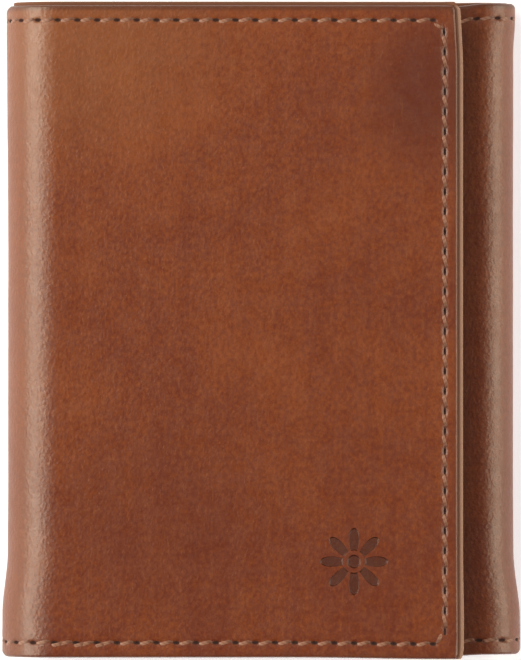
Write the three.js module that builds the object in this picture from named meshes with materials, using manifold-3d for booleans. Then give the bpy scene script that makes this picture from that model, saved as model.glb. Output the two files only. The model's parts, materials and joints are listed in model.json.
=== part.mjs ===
// A leather trifold wallet, closed and lying on its back.
// Millimetres. +X runs across the wallet from its left fold to its right fold, +Y to its top
// edge, and +Z up, out of its front. The origin is under its middle, on what it lies on.
//
// One long sheet of leather, the shell, is the outside of the whole wallet. It is folded twice.
// Its middle third is the back. Past the right fold it becomes the inner flap, which lies on the
// back, and past the left fold it becomes the front flap, which lies on the inner flap.
// Inside the shell lie a lining and a leather panel, open to each other along the top edge: that
// is the bill compartment. Card pockets and an identity window are sewn onto the panel.
//
// Each fold is a narrow spine that turns on a hinge line at each of its two corners.
import * as THREE from "three";
import Module from "manifold-3d";
import { mergeVertices } from "three/addons/utils/BufferGeometryUtils.js";

const wasm = await Module();
wasm.setup();

// ---- Driving dimensions ----

// Outline of the closed wallet
const width = 82; // outside of the left fold to outside of the right fold
const height = 106; // lower edge to the lining's top edge
const reveal = 9.4; // how much of the right fold the front flap leaves uncovered
const innerSetback = 18; // outside of the left fold to the inner flap's free edge

// Plies
const coverThick = 1.1;
const liningThick = 0.4;
const panelThick = 0.7;
const pocketThick = 0.5;
const tailThick = 0.2;
const filmThick = 0.25;
const windowFrameThick = 0.7;
const plyGap = 0.3; // between plies that lie on each other
const billGap = 0.6; // the empty bill compartment
const plyStep = 0.8; // how far the plies show past the shell at a flap's free edge
const liningRise = 0.6; // how far the lining shows past the shell at the top
const panelDrop = 3; // how far the panel stays below the lining at the top

// Room between the folded thirds
const innerFlapGap = 1; // the back's plies to the inner flap's
const frontFlapGap = 2.3; // the inner flap to the front flap's plies
const leftFoldFlat = 2.1; // straight stretch between the left fold's two rounded corners

// Card pockets and identity window
const pockets = 3;
const mouthDrop = 8; // top edge to the first pocket's mouth, and from mouth to mouth
const facingHeight = 12; // leather strip at the mouth of a pocket that hangs on a fabric tail
const spineInset = 0.5; // a fold's corner to the pockets beside it
const windowStile = 8.5; // frame on each side of the window
const windowSill = 11; // and below it
const windowHead = 4; // and above it, under the finger cut
const windowCornerRadius = 3;
const filmLap = 3; // how far the film reaches under the frame
const thumbRadius = 8; // half-round finger cut in the frame's mouth

// Seams
const rowInset = 2.4; // shell's top or lower edge to the seam
const edgeInset = 1.9; // shell's free edge to the seam
const foldInset = 1.2; // pockets' edge beside the fold to the seam that closes them there
const threadWide = 0.6;
const threadThick = 0.4;
const innerThreadThick = 0.3;
const threadLift = 0.05; // between the inside thread and the ply that it lies on

const foldGap = 0.3; // between two bodies at a hinge line
const cornerSteps = 6; // facets in half a corner

// ---- Depths below the shell's outer face: [outer, inner] ----

const under = (ply, gap, thick) => [ply[1] + gap, ply[1] + gap + thick];
const cover = [0, coverThick];
const lining = under(cover, plyGap, liningThick);
const panel = under(lining, billGap, panelThick);
const film = under(panel, plyGap, filmThick);
const windowFrame = under(film, plyGap, windowFrameThick);
const pocket = [under(panel, plyGap, pocketThick)];
for (let i = 1; i < pockets; i++) pocket.push(under(pocket[i - 1], plyGap, pocketThick));

// ---- Levels and edges in the wallet's frame ----

const left = -width / 2;
const right = width / 2;
const flapThick = pocket[pockets - 1][1];
const innerTop = windowFrame[1] + innerFlapGap + flapThick; // the inner flap's outer face
const frontTop = innerTop + frontFlapGap + flapThick; // the front flap's outer face
const leftRadius = (frontTop - leftFoldFlat) / 2;
const rightRadius = innerTop / 2; // the right fold is half round

const low = -height / 2;
const liningHigh = height / 2;
const coverHigh = liningHigh - liningRise;
const panelHigh = liningHigh - panelDrop;
const highRow = coverHigh - rowInset;
const lowRow = low + rowInset;


// ---- The folds ----

// A rounded corner of the shell, seen along Y: its centre and outer radius.
// It bulges to the side and the level that their signs say.
const leftX = left + leftRadius;
const rightX = right - rightRadius;
const corners = {
  leftLow: { x: leftX, z: leftRadius, radius: leftRadius, side: -1, level: -1 },
  leftHigh: { x: leftX, z: frontTop - leftRadius, radius: leftRadius, side: -1, level: 1 },
  rightLow: { x: rightX, z: rightRadius, radius: rightRadius, side: 1, level: -1 },
  rightHigh: { x: rightX, z: innerTop - rightRadius, radius: rightRadius, side: 1, level: 1 },
};

// The line that the corner's two halves turn about. At this place the shell keeps its own length
// when the corner is opened flat: a quarter turn of the leather's middle, half of it each way.
function hingeOf(corner) {
  const reach = (Math.PI / 4) * (corner.radius - coverThick / 2);
  return new THREE.Vector3(corner.x + corner.side * reach, 0, corner.z + corner.level * reach);
}

// Half of a corner as points at a depth below the outer face, from its flat end to its hinge
// plane, or from the hinge plane to where the spine's straight stretch begins. The gap is what
// two bodies leave between them at the hinge plane.
function halfCorner(corner, onSpine, depth, gap) {
  const radius = corner.radius - depth;
  const trim = Math.asin(gap / 2 / radius);
  const points = [];
  for (let i = 0; i <= cornerSteps; i++) {
    const share = i / cornerSteps;
    const angle = onSpine
      ? Math.PI / 4 + trim + share * (Math.PI / 4 - trim)
      : share * (Math.PI / 4 - trim);
    points.push(
      new THREE.Vector2(
        corner.x + corner.side * radius * Math.sin(angle),
        corner.z + corner.level * radius * Math.cos(angle),
      ),
    );
  }
  return points;
}

// Each body's stretch of the shell as a line at a depth below the outer face.
const backLine = (depth, gap) => [
  ...halfCorner(corners.leftLow, false, depth, gap).reverse(),
  ...halfCorner(corners.rightLow, false, depth, gap),
];
const spineLine = (lower, upper) => (depth, gap) => [
  ...halfCorner(lower, true, depth, gap),
  ...halfCorner(upper, true, depth, gap).reverse(),
];
const leftSpineLine = spineLine(corners.leftLow, corners.leftHigh);
const rightSpineLine = spineLine(corners.rightLow, corners.rightHigh);

// A flap hangs on one corner and runs to the side that its sign says, to its free edge.
// Its pockets start a little inside the corner.
const frontFlap = {
  corner: corners.leftHigh,
  top: frontTop,
  edge: right - reveal,
  side: 1,
  pocketStart: leftX + spineInset,
};
const innerFlap = {
  corner: corners.rightHigh,
  top: innerTop,
  edge: left + innerSetback,
  side: -1,
  pocketStart: rightX - spineInset,
};
const flapLine = (flap, end) => (depth, gap) => [
  ...halfCorner(flap.corner, false, depth, gap).reverse(),
  new THREE.Vector2(end, flap.top - depth),
];

// ---- Shapes ----

// The strip between two depths of a line, from one Y to another.
function ply(line, [outer, inner], fromY, toY, gap = foldGap) {
  const section = new THREE.Shape([...line(outer, gap), ...line(inner, gap).reverse()]);
  return new THREE.ExtrudeGeometry(section, { depth: toY - fromY, bevelEnabled: false })
    .rotateX(Math.PI / 2)
    .translate(0, toY, 0);
}

// A flat outline in X and Y, between two heights.
function plate(outline, fromZ, toZ) {
  const settings = { depth: toZ - fromZ, bevelEnabled: false, curveSegments: 8 };
  return new THREE.ExtrudeGeometry(outline, settings).translate(0, 0, fromZ);
}

function rectangle(oneX, otherX, fromY, toY) {
  const fromX = Math.min(oneX, otherX);
  const toX = Math.max(oneX, otherX);
  return new THREE.Shape([
    new THREE.Vector2(fromX, fromY),
    new THREE.Vector2(toX, fromY),
    new THREE.Vector2(toX, toY),
    new THREE.Vector2(fromX, toY),
  ]);
}

function roundedHole(fromX, toX, fromY, toY, radius) {
  const hole = new THREE.Path();
  hole.moveTo(fromX + radius, fromY);
  hole.absarc(toX - radius, fromY + radius, radius, -Math.PI / 2, 0, false);
  hole.absarc(toX - radius, toY - radius, radius, 0, Math.PI / 2, false);
  hole.absarc(fromX + radius, toY - radius, radius, Math.PI / 2, Math.PI, false);
  hole.absarc(fromX + radius, fromY + radius, radius, Math.PI, 1.5 * Math.PI, false);
  return hole;
}

// The rectangle with a half-round finger cut in the middle of its upper edge.
function withFingerCut(fromX, toX, fromY, toY) {
  const middle = (fromX + toX) / 2;
  const outline = new THREE.Shape();
  outline.moveTo(fromX, fromY);
  outline.lineTo(toX, fromY);
  outline.lineTo(toX, toY);
  outline.lineTo(middle + thumbRadius, toY);
  outline.absarc(middle, toY, thumbRadius, 0, Math.PI, true);
  outline.lineTo(fromX, toY);
  outline.closePath();
  return outline;
}

// ---- Joining and cutting ----

function toSolid(geometry) {
  const bare = geometry.clone();
  bare.deleteAttribute("normal");
  bare.deleteAttribute("uv");
  const merged = mergeVertices(bare, 1e-4);
  return new wasm.Manifold(
    new wasm.Mesh({
      numProp: 3,
      vertProperties: merged.attributes.position.array,
      triVerts: new Uint32Array(merged.index.array),
    }),
  );
}

function toGeometry(solid) {
  const { vertProperties, triVerts } = solid.getMesh();
  const geometry = new THREE.BufferGeometry();
  geometry.setAttribute("position", new THREE.BufferAttribute(vertProperties, 3));
  geometry.setIndex(new THREE.BufferAttribute(triVerts, 1));
  return geometry;
}

const cut = (whole, ...tools) =>
  toGeometry(tools.reduce((rest, tool) => rest.subtract(toSolid(tool)), toSolid(whole)));
const join = (first, ...others) =>
  toGeometry(others.reduce((sum, other) => sum.add(toSolid(other)), toSolid(first)));

// ---- Seams on the outside ----

// The thread lies in a groove. The groove's cutter starts outside the shell and runs on into the
// gap at the hinge plane.
const threadBar = { half: threadWide / 2, depths: [0, threadThick], gap: foldGap };
const groove = {
  half: threadWide / 2 + plyGap,
  depths: [-threadThick, threadThick + plyGap],
  gap: 0,
};
const halfThread = threadBar.half;

// A stretch of the seam's upper or lower row across one body.
const row = (line, bar, at) => ply(line, bar.depths, at - bar.half, at + bar.half, bar.gap);

// Both rows of a flap and the column along its free edge.
function flapSeam(flap, bar) {
  const column = flap.edge - flap.side * edgeInset;
  const line = flapLine(flap, column + flap.side * bar.half);
  const upright = rectangle(
    column - bar.half,
    column + bar.half,
    lowRow - bar.half,
    highRow + bar.half,
  );
  return [
    row(line, bar, highRow),
    row(line, bar, lowRow),
    plate(upright, flap.top - bar.depths[1], flap.top - bar.depths[0]),
  ];
}

// ---- Materials ----

const matte = (color, roughness) =>
  new THREE.MeshStandardMaterial({ color, roughness, metalness: 0 });
const coverLeather = matte("#834627", 0.45);
const panelLeather = matte("#7d4a2c", 0.6);
const liningCloth = matte("#4a3022", 0.9);
const seamThread = matte("#8f5f4c", 0.7);
const windowFilm = new THREE.MeshStandardMaterial({
  color: "#e8e6e0",
  roughness: 0.1,
  metalness: 0,
  transparent: true,
  opacity: 0.3,
});

function named(name, geometry, material) {
  const mesh = new THREE.Mesh(geometry, material);
  mesh.name = name;
  return mesh;
}

// ---- Shell, lining and panel of each body ----

function backOrSpine(line, name) {
  const grooves = [highRow, lowRow].map((at) => row(line, groove, at));
  const top = row(line, threadBar, highRow);
  const bottom = row(line, threadBar, lowRow);
  return [
    named(`${name}_cover`, cut(ply(line, cover, low, coverHigh), ...grooves), coverLeather),
    named(`${name}_lining`, ply(line, lining, low, liningHigh), liningCloth),
    named(`${name}_panel`, ply(line, panel, low, panelHigh), panelLeather),
    named(`${name}_thread_top`, top, seamThread),
    named(`${name}_thread_bottom`, bottom, seamThread),
  ];
}

function flapPlies(flap, name) {
  const coverLine = flapLine(flap, flap.edge);
  const plyLine = flapLine(flap, flap.edge + flap.side * plyStep);
  const grooves = flapSeam(flap, groove);
  const seam = join(...flapSeam(flap, threadBar));
  return [
    named(`${name}_cover`, cut(ply(coverLine, cover, low, coverHigh), ...grooves), coverLeather),
    named(`${name}_lining`, ply(plyLine, lining, low, liningHigh), liningCloth),
    named(`${name}_panel`, ply(plyLine, panel, low, panelHigh), panelLeather),
    named(`${name}_thread`, seam, seamThread),
  ];
}

// ---- Card pockets ----

// Each pocket stands a step lower than the one behind it, and so does the card in it: the last
// pocket's floor is the lower seam.
const mouth = (i) => liningHigh - mouthDrop * (i + 1);
const pocketFloor = (i) => lowRow + mouthDrop * (pockets - 1 - i);

// The last pocket is a whole leather piece. Those behind it are a leather facing at the mouth
// and, below that, a fabric tail that reaches down to where the card stands.
function cardPockets(flap, name) {
  const made = [];
  for (let i = 0; i < pockets; i++) {
    const last = i === pockets - 1;
    const outerZ = flap.top - pocket[i][0];
    const innerZ = flap.top - pocket[i][1];
    const facingLow = last ? low : mouth(i) - facingHeight;
    const facing = rectangle(flap.pocketStart, flap.edge, facingLow, mouth(i));
    made.push(named(`${name}_pocket_${i + 1}`, plate(facing, innerZ, outerZ), panelLeather));
    if (last) break;
    const tail = rectangle(
      flap.pocketStart + flap.side * plyGap,
      flap.edge - flap.side * plyGap,
      pocketFloor(i),
      facingLow - plyGap,
    );
    const cloth = plate(tail, outerZ - tailThick, outerZ);
    made.push(named(`${name}_pocket_tail_${i + 1}`, cloth, liningCloth));
  }
  return made;
}

// The seams as they show on a flap's inside: along the lower edge, up the free edge, and up the
// pockets' side at the fold. A column steps from the last pocket to the one behind it and at last
// to the panel.
function insideThread(flap) {
  const faces = [panel, ...pocket].map((depths) => flap.top - depths[1] - threadLift);
  const edgeColumn = flap.edge - flap.side * edgeInset;
  const foldColumn = flap.pocketStart + flap.side * foldInset;
  const bar = (x, fromY, toY, lowZ, highZ) =>
    plate(rectangle(x - halfThread, x + halfThread, fromY, toY), lowZ, highZ);
  const made = [];
  for (const x of [edgeColumn, foldColumn]) {
    for (let i = 0; i < faces.length; i++) {
      const toY = i === 0 ? panelHigh - rowInset : mouth(i - 1) + threadLift + innerThreadThick;
      const fromY = i === pockets ? lowRow - halfThread : mouth(i) + threadLift;
      made.push(bar(x, fromY, toY, faces[i] - innerThreadThick, faces[i]));
      if (i > 0) made.push(bar(x, toY - innerThreadThick, toY, faces[i], faces[i - 1]));
    }
  }
  const lower = rectangle(
    foldColumn - flap.side * halfThread,
    edgeColumn + flap.side * halfThread,
    lowRow - halfThread,
    lowRow + halfThread,
  );
  made.push(plate(lower, faces[pockets] - innerThreadThick, faces[pockets]));
  return join(...made);
}

// ---- Identity window, on the back's panel ----

function identityWindow() {
  const frameLeft = leftX + spineInset;
  const frameRight = rightX - spineInset;
  const windowLeft = frameLeft + windowStile;
  const windowRight = frameRight - windowStile;
  const windowLow = low + windowSill;
  const windowHigh = mouth(0) - thumbRadius - windowHead;

  const frame = withFingerCut(frameLeft, frameRight, low, mouth(0));
  frame.holes.push(roundedHole(windowLeft, windowRight, windowLow, windowHigh, windowCornerRadius));
  const sheet = rectangle(
    windowLeft - filmLap,
    windowRight + filmLap,
    windowLow - filmLap,
    windowHigh + filmLap,
  );

  const face = windowFrame[1] + threadLift;
  const seamLeft = frameLeft + foldInset;
  const seamRight = frameRight - foldInset;
  const seamHigh = mouth(0) - rowInset;
  const seamOutline = rectangle(
    seamLeft - halfThread,
    seamRight + halfThread,
    lowRow - halfThread,
    seamHigh,
  );
  const insideSeam = rectangle(
    seamLeft + halfThread,
    seamRight - halfThread,
    lowRow + halfThread,
    liningHigh,
  );
  const seam = cut(
    plate(seamOutline, face, face + innerThreadThick),
    plate(insideSeam, panel[1], face + coverThick),
  );
  return [
    named("id_window_film", plate(sheet, ...film), windowFilm),
    named("id_window_frame", plate(frame, ...windowFrame), panelLeather),
    named("id_window_thread", seam, seamThread),
  ];
}

// ---- The five bodies ----

function makeFlap(flap, name) {
  return [
    ...flapPlies(flap, name),
    ...cardPockets(flap, name),
    named(`${name}_inside_thread`, insideThread(flap), seamThread),
  ];
}

// A body that hangs on a hinge line of the body before it. Turning the group about Y folds it.
function hang(parent, parentHinge, hinge, meshes) {
  const body = new THREE.Group();
  body.position.copy(hinge).sub(parentHinge);
  for (const mesh of meshes) mesh.position.sub(hinge);
  body.add(...meshes);
  parent.add(body);
  return body;
}

const wallet = new THREE.Group();
wallet.add(...backOrSpine(backLine, "back"), ...identityWindow());

const origin = new THREE.Vector3();
const leftLow = hingeOf(corners.leftLow);
const leftHigh = hingeOf(corners.leftHigh);
const rightLow = hingeOf(corners.rightLow);
const rightHigh = hingeOf(corners.rightHigh);

const leftSpine = hang(wallet, origin, leftLow, backOrSpine(leftSpineLine, "left_spine"));
hang(leftSpine, leftLow, leftHigh, makeFlap(frontFlap, "front_flap"));

const rightSpine = hang(wallet, origin, rightLow, backOrSpine(rightSpineLine, "right_spine"));
hang(rightSpine, rightLow, rightHigh, makeFlap(innerFlap, "inner_flap"));

export default wallet;
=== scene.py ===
# %% [markdown]
# # A trifold wallet, closed
# The real object is one long sheet of cognac leather that is folded twice, so that a front flap
# closes over an inner flap. A cloth lining and a thinner leather panel lie inside it, and the flaps
# carry card pockets. A maker cuts every ply flat, sews them, and only then folds them.
# The model is made in the same order: each ply is a flat sheet first, and one function folds it.

# %% Load the frame
import math

import bmesh
import bpy
import json
import numpy as np
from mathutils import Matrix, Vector, noise


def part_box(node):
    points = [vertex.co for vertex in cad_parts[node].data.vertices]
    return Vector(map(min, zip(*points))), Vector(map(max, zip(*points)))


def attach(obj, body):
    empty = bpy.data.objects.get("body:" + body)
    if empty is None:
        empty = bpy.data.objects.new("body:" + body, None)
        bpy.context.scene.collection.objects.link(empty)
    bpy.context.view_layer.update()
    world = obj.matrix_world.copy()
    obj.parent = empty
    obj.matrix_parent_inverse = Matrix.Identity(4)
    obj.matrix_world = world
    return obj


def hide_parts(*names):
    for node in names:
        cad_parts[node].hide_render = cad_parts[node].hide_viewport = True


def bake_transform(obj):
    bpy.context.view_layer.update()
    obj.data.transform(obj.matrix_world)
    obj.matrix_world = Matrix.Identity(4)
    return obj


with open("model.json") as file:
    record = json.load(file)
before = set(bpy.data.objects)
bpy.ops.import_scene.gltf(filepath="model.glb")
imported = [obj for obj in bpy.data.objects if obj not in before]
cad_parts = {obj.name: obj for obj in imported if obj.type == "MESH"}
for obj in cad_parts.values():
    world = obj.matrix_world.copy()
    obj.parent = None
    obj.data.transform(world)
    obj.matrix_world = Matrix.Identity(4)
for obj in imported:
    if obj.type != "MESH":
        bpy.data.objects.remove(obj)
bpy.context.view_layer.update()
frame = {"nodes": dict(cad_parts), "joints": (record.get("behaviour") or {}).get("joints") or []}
MM = 0.001

# %% [markdown]
# ## Sizes
# Every size comes from the frame: the flat parts of the shell end where the nodes' boxes end, and
# each fold is two quarter turns. The sizes below are in millimetres, as a maker would write them.


# %% Read the sizes from the frame
def span(node, axis):
    """Lowest and highest coordinate of a node along one axis, in millimetres."""
    low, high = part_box(node)
    return round(low[axis] / MM, 4), round(high[axis] / MM, 4)


FREE_X = span("front_flap_cover", 0)[1]
COVER_LOW, COVER_HIGH = span("front_flap_cover", 1)
TOP_Z = span("front_flap_cover", 2)[1]
INNER_FREE_X = span("inner_flap_cover", 0)[0]
INNER_TOP_Z = span("inner_flap_cover", 2)[1]
LINING_HIGH = span("front_flap_lining", 1)[1]
PANEL_HIGH = span("front_flap_panel", 1)[1]
PANEL_FREE_X = span("front_flap_panel", 0)[1]
OUT_LEFT = span("left_spine_cover", 0)[0]
OUT_RIGHT = span("right_spine_cover", 0)[1]
PLY_EDGE = PANEL_FREE_X - FREE_X
print("top", TOP_Z, "inner top", INNER_TOP_Z, "ply edge", round(PLY_EDGE, 3))

# %% Depths of the plies, measured from the leather's outer face
COVER = (0.0, 1.1)
LINING = (1.4, 1.8)
PANEL = (2.4, 3.1)
NEUTRAL = COVER[1] / 2
print("cover", COVER, "lining", LINING, "panel", PANEL)


# %% Radii of the folds, from where their hinges lie
def fold_radius(joint_name):
    """Radius of the quarter turn that a hinge stands for, so that the leather keeps its length."""
    hinge = next(j for j in frame["joints"] if j["name"] == joint_name)
    quarter = math.pi / 4
    return round((hinge["pos_m"][2] / MM - quarter * NEUTRAL) / (1 - quarter), 2)


LEFT_R = fold_radius("left_spine_hinge")
RIGHT_R = fold_radius("right_spine_hinge")
LEFT_FOLD_X = OUT_LEFT + LEFT_R
RIGHT_FOLD_X = OUT_RIGHT - RIGHT_R
print("fold radii", LEFT_R, RIGHT_R)

# %% [markdown]
# ## The folding path
# Seen from the bottom edge, the shell is a line of flats and arcs. It could be bent with modifiers,
# but a path of its own keeps the leather's length, because an arc is measured along the middle of
# the leather. The path starts at the front flap's free edge and ends at the inner flap's.

# %% Flats and arcs of the shell
LEFT_TURN = math.pi / 2 * (LEFT_R - NEUTRAL)
RIGHT_TURN = math.pi / 2 * (RIGHT_R - NEUTRAL)
LEFT_FLAT = TOP_Z - 2 * LEFT_R
PATH = [
    ("flat", FREE_X - LEFT_FOLD_X, (FREE_X, TOP_Z), (-1, 0)),
    ("arc", LEFT_TURN, (LEFT_FOLD_X, TOP_Z - LEFT_R, LEFT_R), 90),
    ("flat", LEFT_FLAT, (OUT_LEFT, TOP_Z - LEFT_R), (0, -1)),
    ("arc", LEFT_TURN, (LEFT_FOLD_X, LEFT_R, LEFT_R), 180),
    ("flat", RIGHT_FOLD_X - LEFT_FOLD_X, (LEFT_FOLD_X, 0), (1, 0)),
    ("arc", RIGHT_TURN, (RIGHT_FOLD_X, RIGHT_R, RIGHT_R), 270),
    ("arc", RIGHT_TURN, (RIGHT_FOLD_X, INNER_TOP_Z - RIGHT_R, RIGHT_R), 0),
    ("flat", RIGHT_FOLD_X - INNER_FREE_X, (RIGHT_FOLD_X, INNER_TOP_Z), (-1, 0)),
]
ENDS = np.cumsum([0] + [part[1] for part in PATH])
LENGTH = float(ENDS[-1])
FRONT_END = float(ENDS[1])
INNER_START = float(ENDS[7])
CUTS = [0.0, float(ENDS[2]) + LEFT_FLAT / 2, float(ENDS[4] + ENDS[5]) / 2, float(ENDS[6]), LENGTH]
print("the shell is", round(LENGTH, 2), "mm long; its four lengths meet at", np.round(CUTS, 2))


# %% Follow the path
def along_path(s, depth):
    """Place of points that lie s along the shell and depth inside its outer face, as x and z."""
    x = np.zeros_like(s)
    z = np.zeros_like(s)
    for i, (kind, length, start, turn) in enumerate(PATH):
        after = s >= ENDS[i] if i else np.full(s.shape, True)
        before = s < ENDS[i + 1] if i < len(PATH) - 1 else np.full(s.shape, True)
        here = after & before
        run = s[here] - ENDS[i]
        if kind == "flat":
            x[here] = start[0] + run * turn[0] - depth[here] * turn[1]
            z[here] = start[1] + run * turn[1] + depth[here] * turn[0]
        else:
            angle = math.radians(turn) + run / (start[2] - NEUTRAL)
            x[here] = start[0] + (start[2] - depth[here]) * np.cos(angle)
            z[here] = start[1] + (start[2] - depth[here]) * np.sin(angle)
    return x, z


# %% [markdown]
# ## How a used wallet differs from a drawing
# Sewn edges pinch the plies together, folds have rounded ends, the lower corners spread a little,
# and the front flap sinks towards its free edge. Each of these is a small change to a ply's place,
# so every ply, pocket and stitch passes through the same function and they stay in order.


# %% Small helpers for smooth changes
def ease(value, start, end):
    """0 at start, 1 at end, and smooth between them."""
    t = np.clip((value - start) / (end - start), 0, 1)
    return t * t * (3 - 2 * t)


def rounding(distance, radius):
    """How far a rounded edge of this radius has dropped at a distance from its rim."""
    inside = np.clip(radius - distance, 0, radius)
    return radius - np.sqrt(radius * radius - inside * inside)


def ripple(s, y, size, seed):
    """A slow random wave over the leather, from about -1 to 1."""
    points = zip((s / size).tolist(), (y / size).tolist())
    return np.array([noise.noise((a + seed, b - seed, seed * 1.7)) for a, b in points]) * 1.8


# %% Pinch the plies where they are sewn
OPEN = [0.0, COVER[1], LINING[0], LINING[1], PANEL[0], PANEL[1], 3.4, 3.9, 4.2, 4.7, 5.0, 5.5]
SEWN = [0.0, 1.1, 1.15, 1.55, 1.61, 2.31, 2.37, 2.87, 2.93, 3.43, 3.49, 3.99]
TOP_SEWN = [0.0, 1.1, 1.15, 1.55] + OPEN[4:]


def pinch(s, y, depth):
    """Depth of a point after the seams have drawn the plies together."""
    side = np.minimum(s, LENGTH - s)
    sewn = 1 - ease(np.minimum(side, y - COVER_LOW), 1.5, 8)
    top = 1 - ease(COVER_HIGH - y, 1.5, 8)
    all_plies = np.interp(depth, OPEN, SEWN) - depth
    two_plies = np.interp(depth, OPEN, TOP_SEWN) - depth
    return depth + sewn * all_plies + np.clip(top - sewn, 0, 1) * two_plies


# %% How far a used wallet moves from its drawing, in millimetres
EDGE_TURN = 0.72
LEATHER_WAVE = 0.10
CORNER_FLARE = 0.8
FOLD_WAIST = 0.18
RIGHT_SPREAD = 0.3
FLAP_SAG = 1.4
FLAP_LEAN = 0.42
print("the front flap sinks", FLAP_SAG, "mm and the corners flare", CORNER_FLARE, "mm")


# %% Fold a flat ply
def fold(flat):
    """Takes flat points (s, y, depth) in millimetres to the closed wallet, in metres."""
    s, y, depth = flat[:, 0], flat[:, 1], flat[:, 2]
    depth = pinch(s, y, depth)
    depth = depth - EDGE_TURN * ease(-np.minimum(s, LENGTH - s), 0.14, 0.42)
    depth = depth + LEATHER_WAVE * ripple(s, y, 23, 3.1) * ease(np.minimum(s, LENGTH - s), 0, 6)
    x, z = along_path(s, depth)
    ends = ease(np.abs(y), 49, 53.2)
    left_dip = rounding(x - OUT_LEFT + 0.2, 1.2)
    right_dip = rounding(OUT_RIGHT - x + 0.2, 1.0)
    y = y - np.sign(y) * ends * (left_dip + right_dip)
    spread = CORNER_FLARE * ease(-y, 36, 46) - FOLD_WAIST * (1 - (y / 53) ** 2)
    x = x + spread * (ease(x, 30, 41) - ease(-x, 25, 38)) * (z > 0.5)
    corners = 0.3 * ease(y, 44, 50) + 0.2 * ease(-y, 40, 48)
    x = x + (RIGHT_SPREAD + corners) * ease(x, 30, 41)
    front = s < FRONT_END
    reach = np.clip((x - LEFT_FOLD_X) / (FREE_X - LEFT_FOLD_X), 0, 1.05)
    z = z - np.where(front, FLAP_SAG * reach ** 2.2, 0)
    lean = 0.45 * ease(y, 42, 53) + rounding(53.2 - y, 1.9) + rounding(y + 53.2, 1.2)
    x = x + np.where(front, FLAP_LEAN * reach - lean * ease(x, 27, 32), 0)
    y = y - np.where(front, rounding(33.2 - x, 0.9) * np.sign(y) * ease(np.abs(y), 48, 53), 0)
    right = np.where(front, 0, ease(x, 31, 37))
    y = y + right * (0.55 * ease(y, -50, 40) - 0.5 * ease(depth, 1.1, 1.15) * ease(y, 47, 53))
    y = y + right * 0.25 * ease(-y, 45, 53)
    y = y - np.where(front, 0.3 * ease(-y, 44, 53) * ease(x, 5, 30), 0)
    return np.stack([x, y, z], axis=1) * MM


# %% [markdown]
# ## Flat plies
# A ply is a grid whose lines are moved to where detail is needed: close together at a cut edge and
# along a row of stitches, and wider elsewhere. Then the grid is extruded to the ply's thickness.
# The same could be done with a Subdivision Surface modifier, but that rounds the square corners.


# %% Choose the grid lines
def lines(start, end, step, close=()):
    """Positions from start to end, step apart, and closer round each (place, half width, step)."""
    found = [start]
    while found[-1] < end:
        here = found[-1]
        near = [fine for place, half, fine in close if abs(here - place) <= half]
        found.append(here + min([step] + near))
    stretch = (end - start) / (found[-1] - start)
    return [start + (p - start) * stretch for p in found]


# %% Cut a flat ply
def cut_ply(s_lines, y_lines, depths):
    """A closed flat ply: a grid on these lines, from the first depth to the second."""
    columns, rows = len(s_lines) - 1, len(y_lines) - 1
    bm = bmesh.new()
    bmesh.ops.create_grid(bm, x_segments=columns, y_segments=rows, size=1)
    for vert in bm.verts:
        column = round((vert.co.x + 1) / 2 * columns)
        row = round((vert.co.y + 1) / 2 * rows)
        vert.co = (s_lines[column], y_lines[row], depths[0])
    made = bmesh.ops.extrude_face_region(bm, geom=bm.faces[:], use_keep_orig=True)
    inner = [v for v in made["geom"] if isinstance(v, bmesh.types.BMVert)]
    bmesh.ops.translate(bm, verts=inner, vec=(0, 0, depths[1] - depths[0]))
    bmesh.ops.recalc_face_normals(bm, faces=bm.faces[:])
    return bm


# %% [markdown]
# A finished ply keeps three things that its finish reads: where each point was on the flat ply, how
# far it is from a cut edge, and how deep it is. They are stored as attributes, because a pattern
# that reads them stays on the leather when the wallet opens.


# %% Turn a flat ply into a folded piece
def finish_ply(bm, name, cuts, relief=None, shape=fold):
    """Folds a flat ply and makes the object. cuts(s, y) gives the distance to the cut edge."""
    mesh = bpy.data.meshes.new(name)
    bm.to_mesh(mesh)
    bm.free()
    flat = np.zeros(len(mesh.vertices) * 3)
    mesh.vertices.foreach_get("co", flat)
    flat = flat.reshape(-1, 3)
    stored = mesh.attributes.new("flat_mm", "FLOAT_VECTOR", "POINT")
    stored.data.foreach_set("vector", flat.ravel())
    edge = mesh.attributes.new("edge_mm", "FLOAT", "POINT")
    edge.data.foreach_set("value", cuts(flat[:, 0], flat[:, 1]))
    moved = flat.copy()
    if relief is not None:
        moved[:, 2] += relief(flat)
    mesh.vertices.foreach_set("co", shape(moved).ravel())
    mesh.update()
    mesh.shade_smooth()
    mesh.set_sharp_from_angle(angle=math.radians(48))
    piece = bpy.data.objects.new(name, mesh)
    bpy.context.scene.collection.objects.link(piece)
    print(name, len(mesh.polygons), "faces")
    return piece


# %% [markdown]
# ## The outer leather
# The cover is 1.1 mm of full-grain leather. Its cut edges are rounded and burnished, the seams draw
# the surface down into a shallow channel with a dent at each needle hole, and a rosette is pressed
# into the lower corner of the front. It is made in four lengths, each with one quarter turn of a
# fold. They meet in the middle of the back and of the two folds.

# %% Where the seams run
STITCH = 25.4 / 8
ROW_TOP, ROW_LOW = 50.0, -50.6
COLUMN_IN = 2.1
ROSETTE = (FREE_X - 16.7, -37.5)
ROSETTE_R = 5.4
print("stitches are", STITCH, "mm long; the rosette is", 2 * ROSETTE_R, "mm wide")

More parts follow.
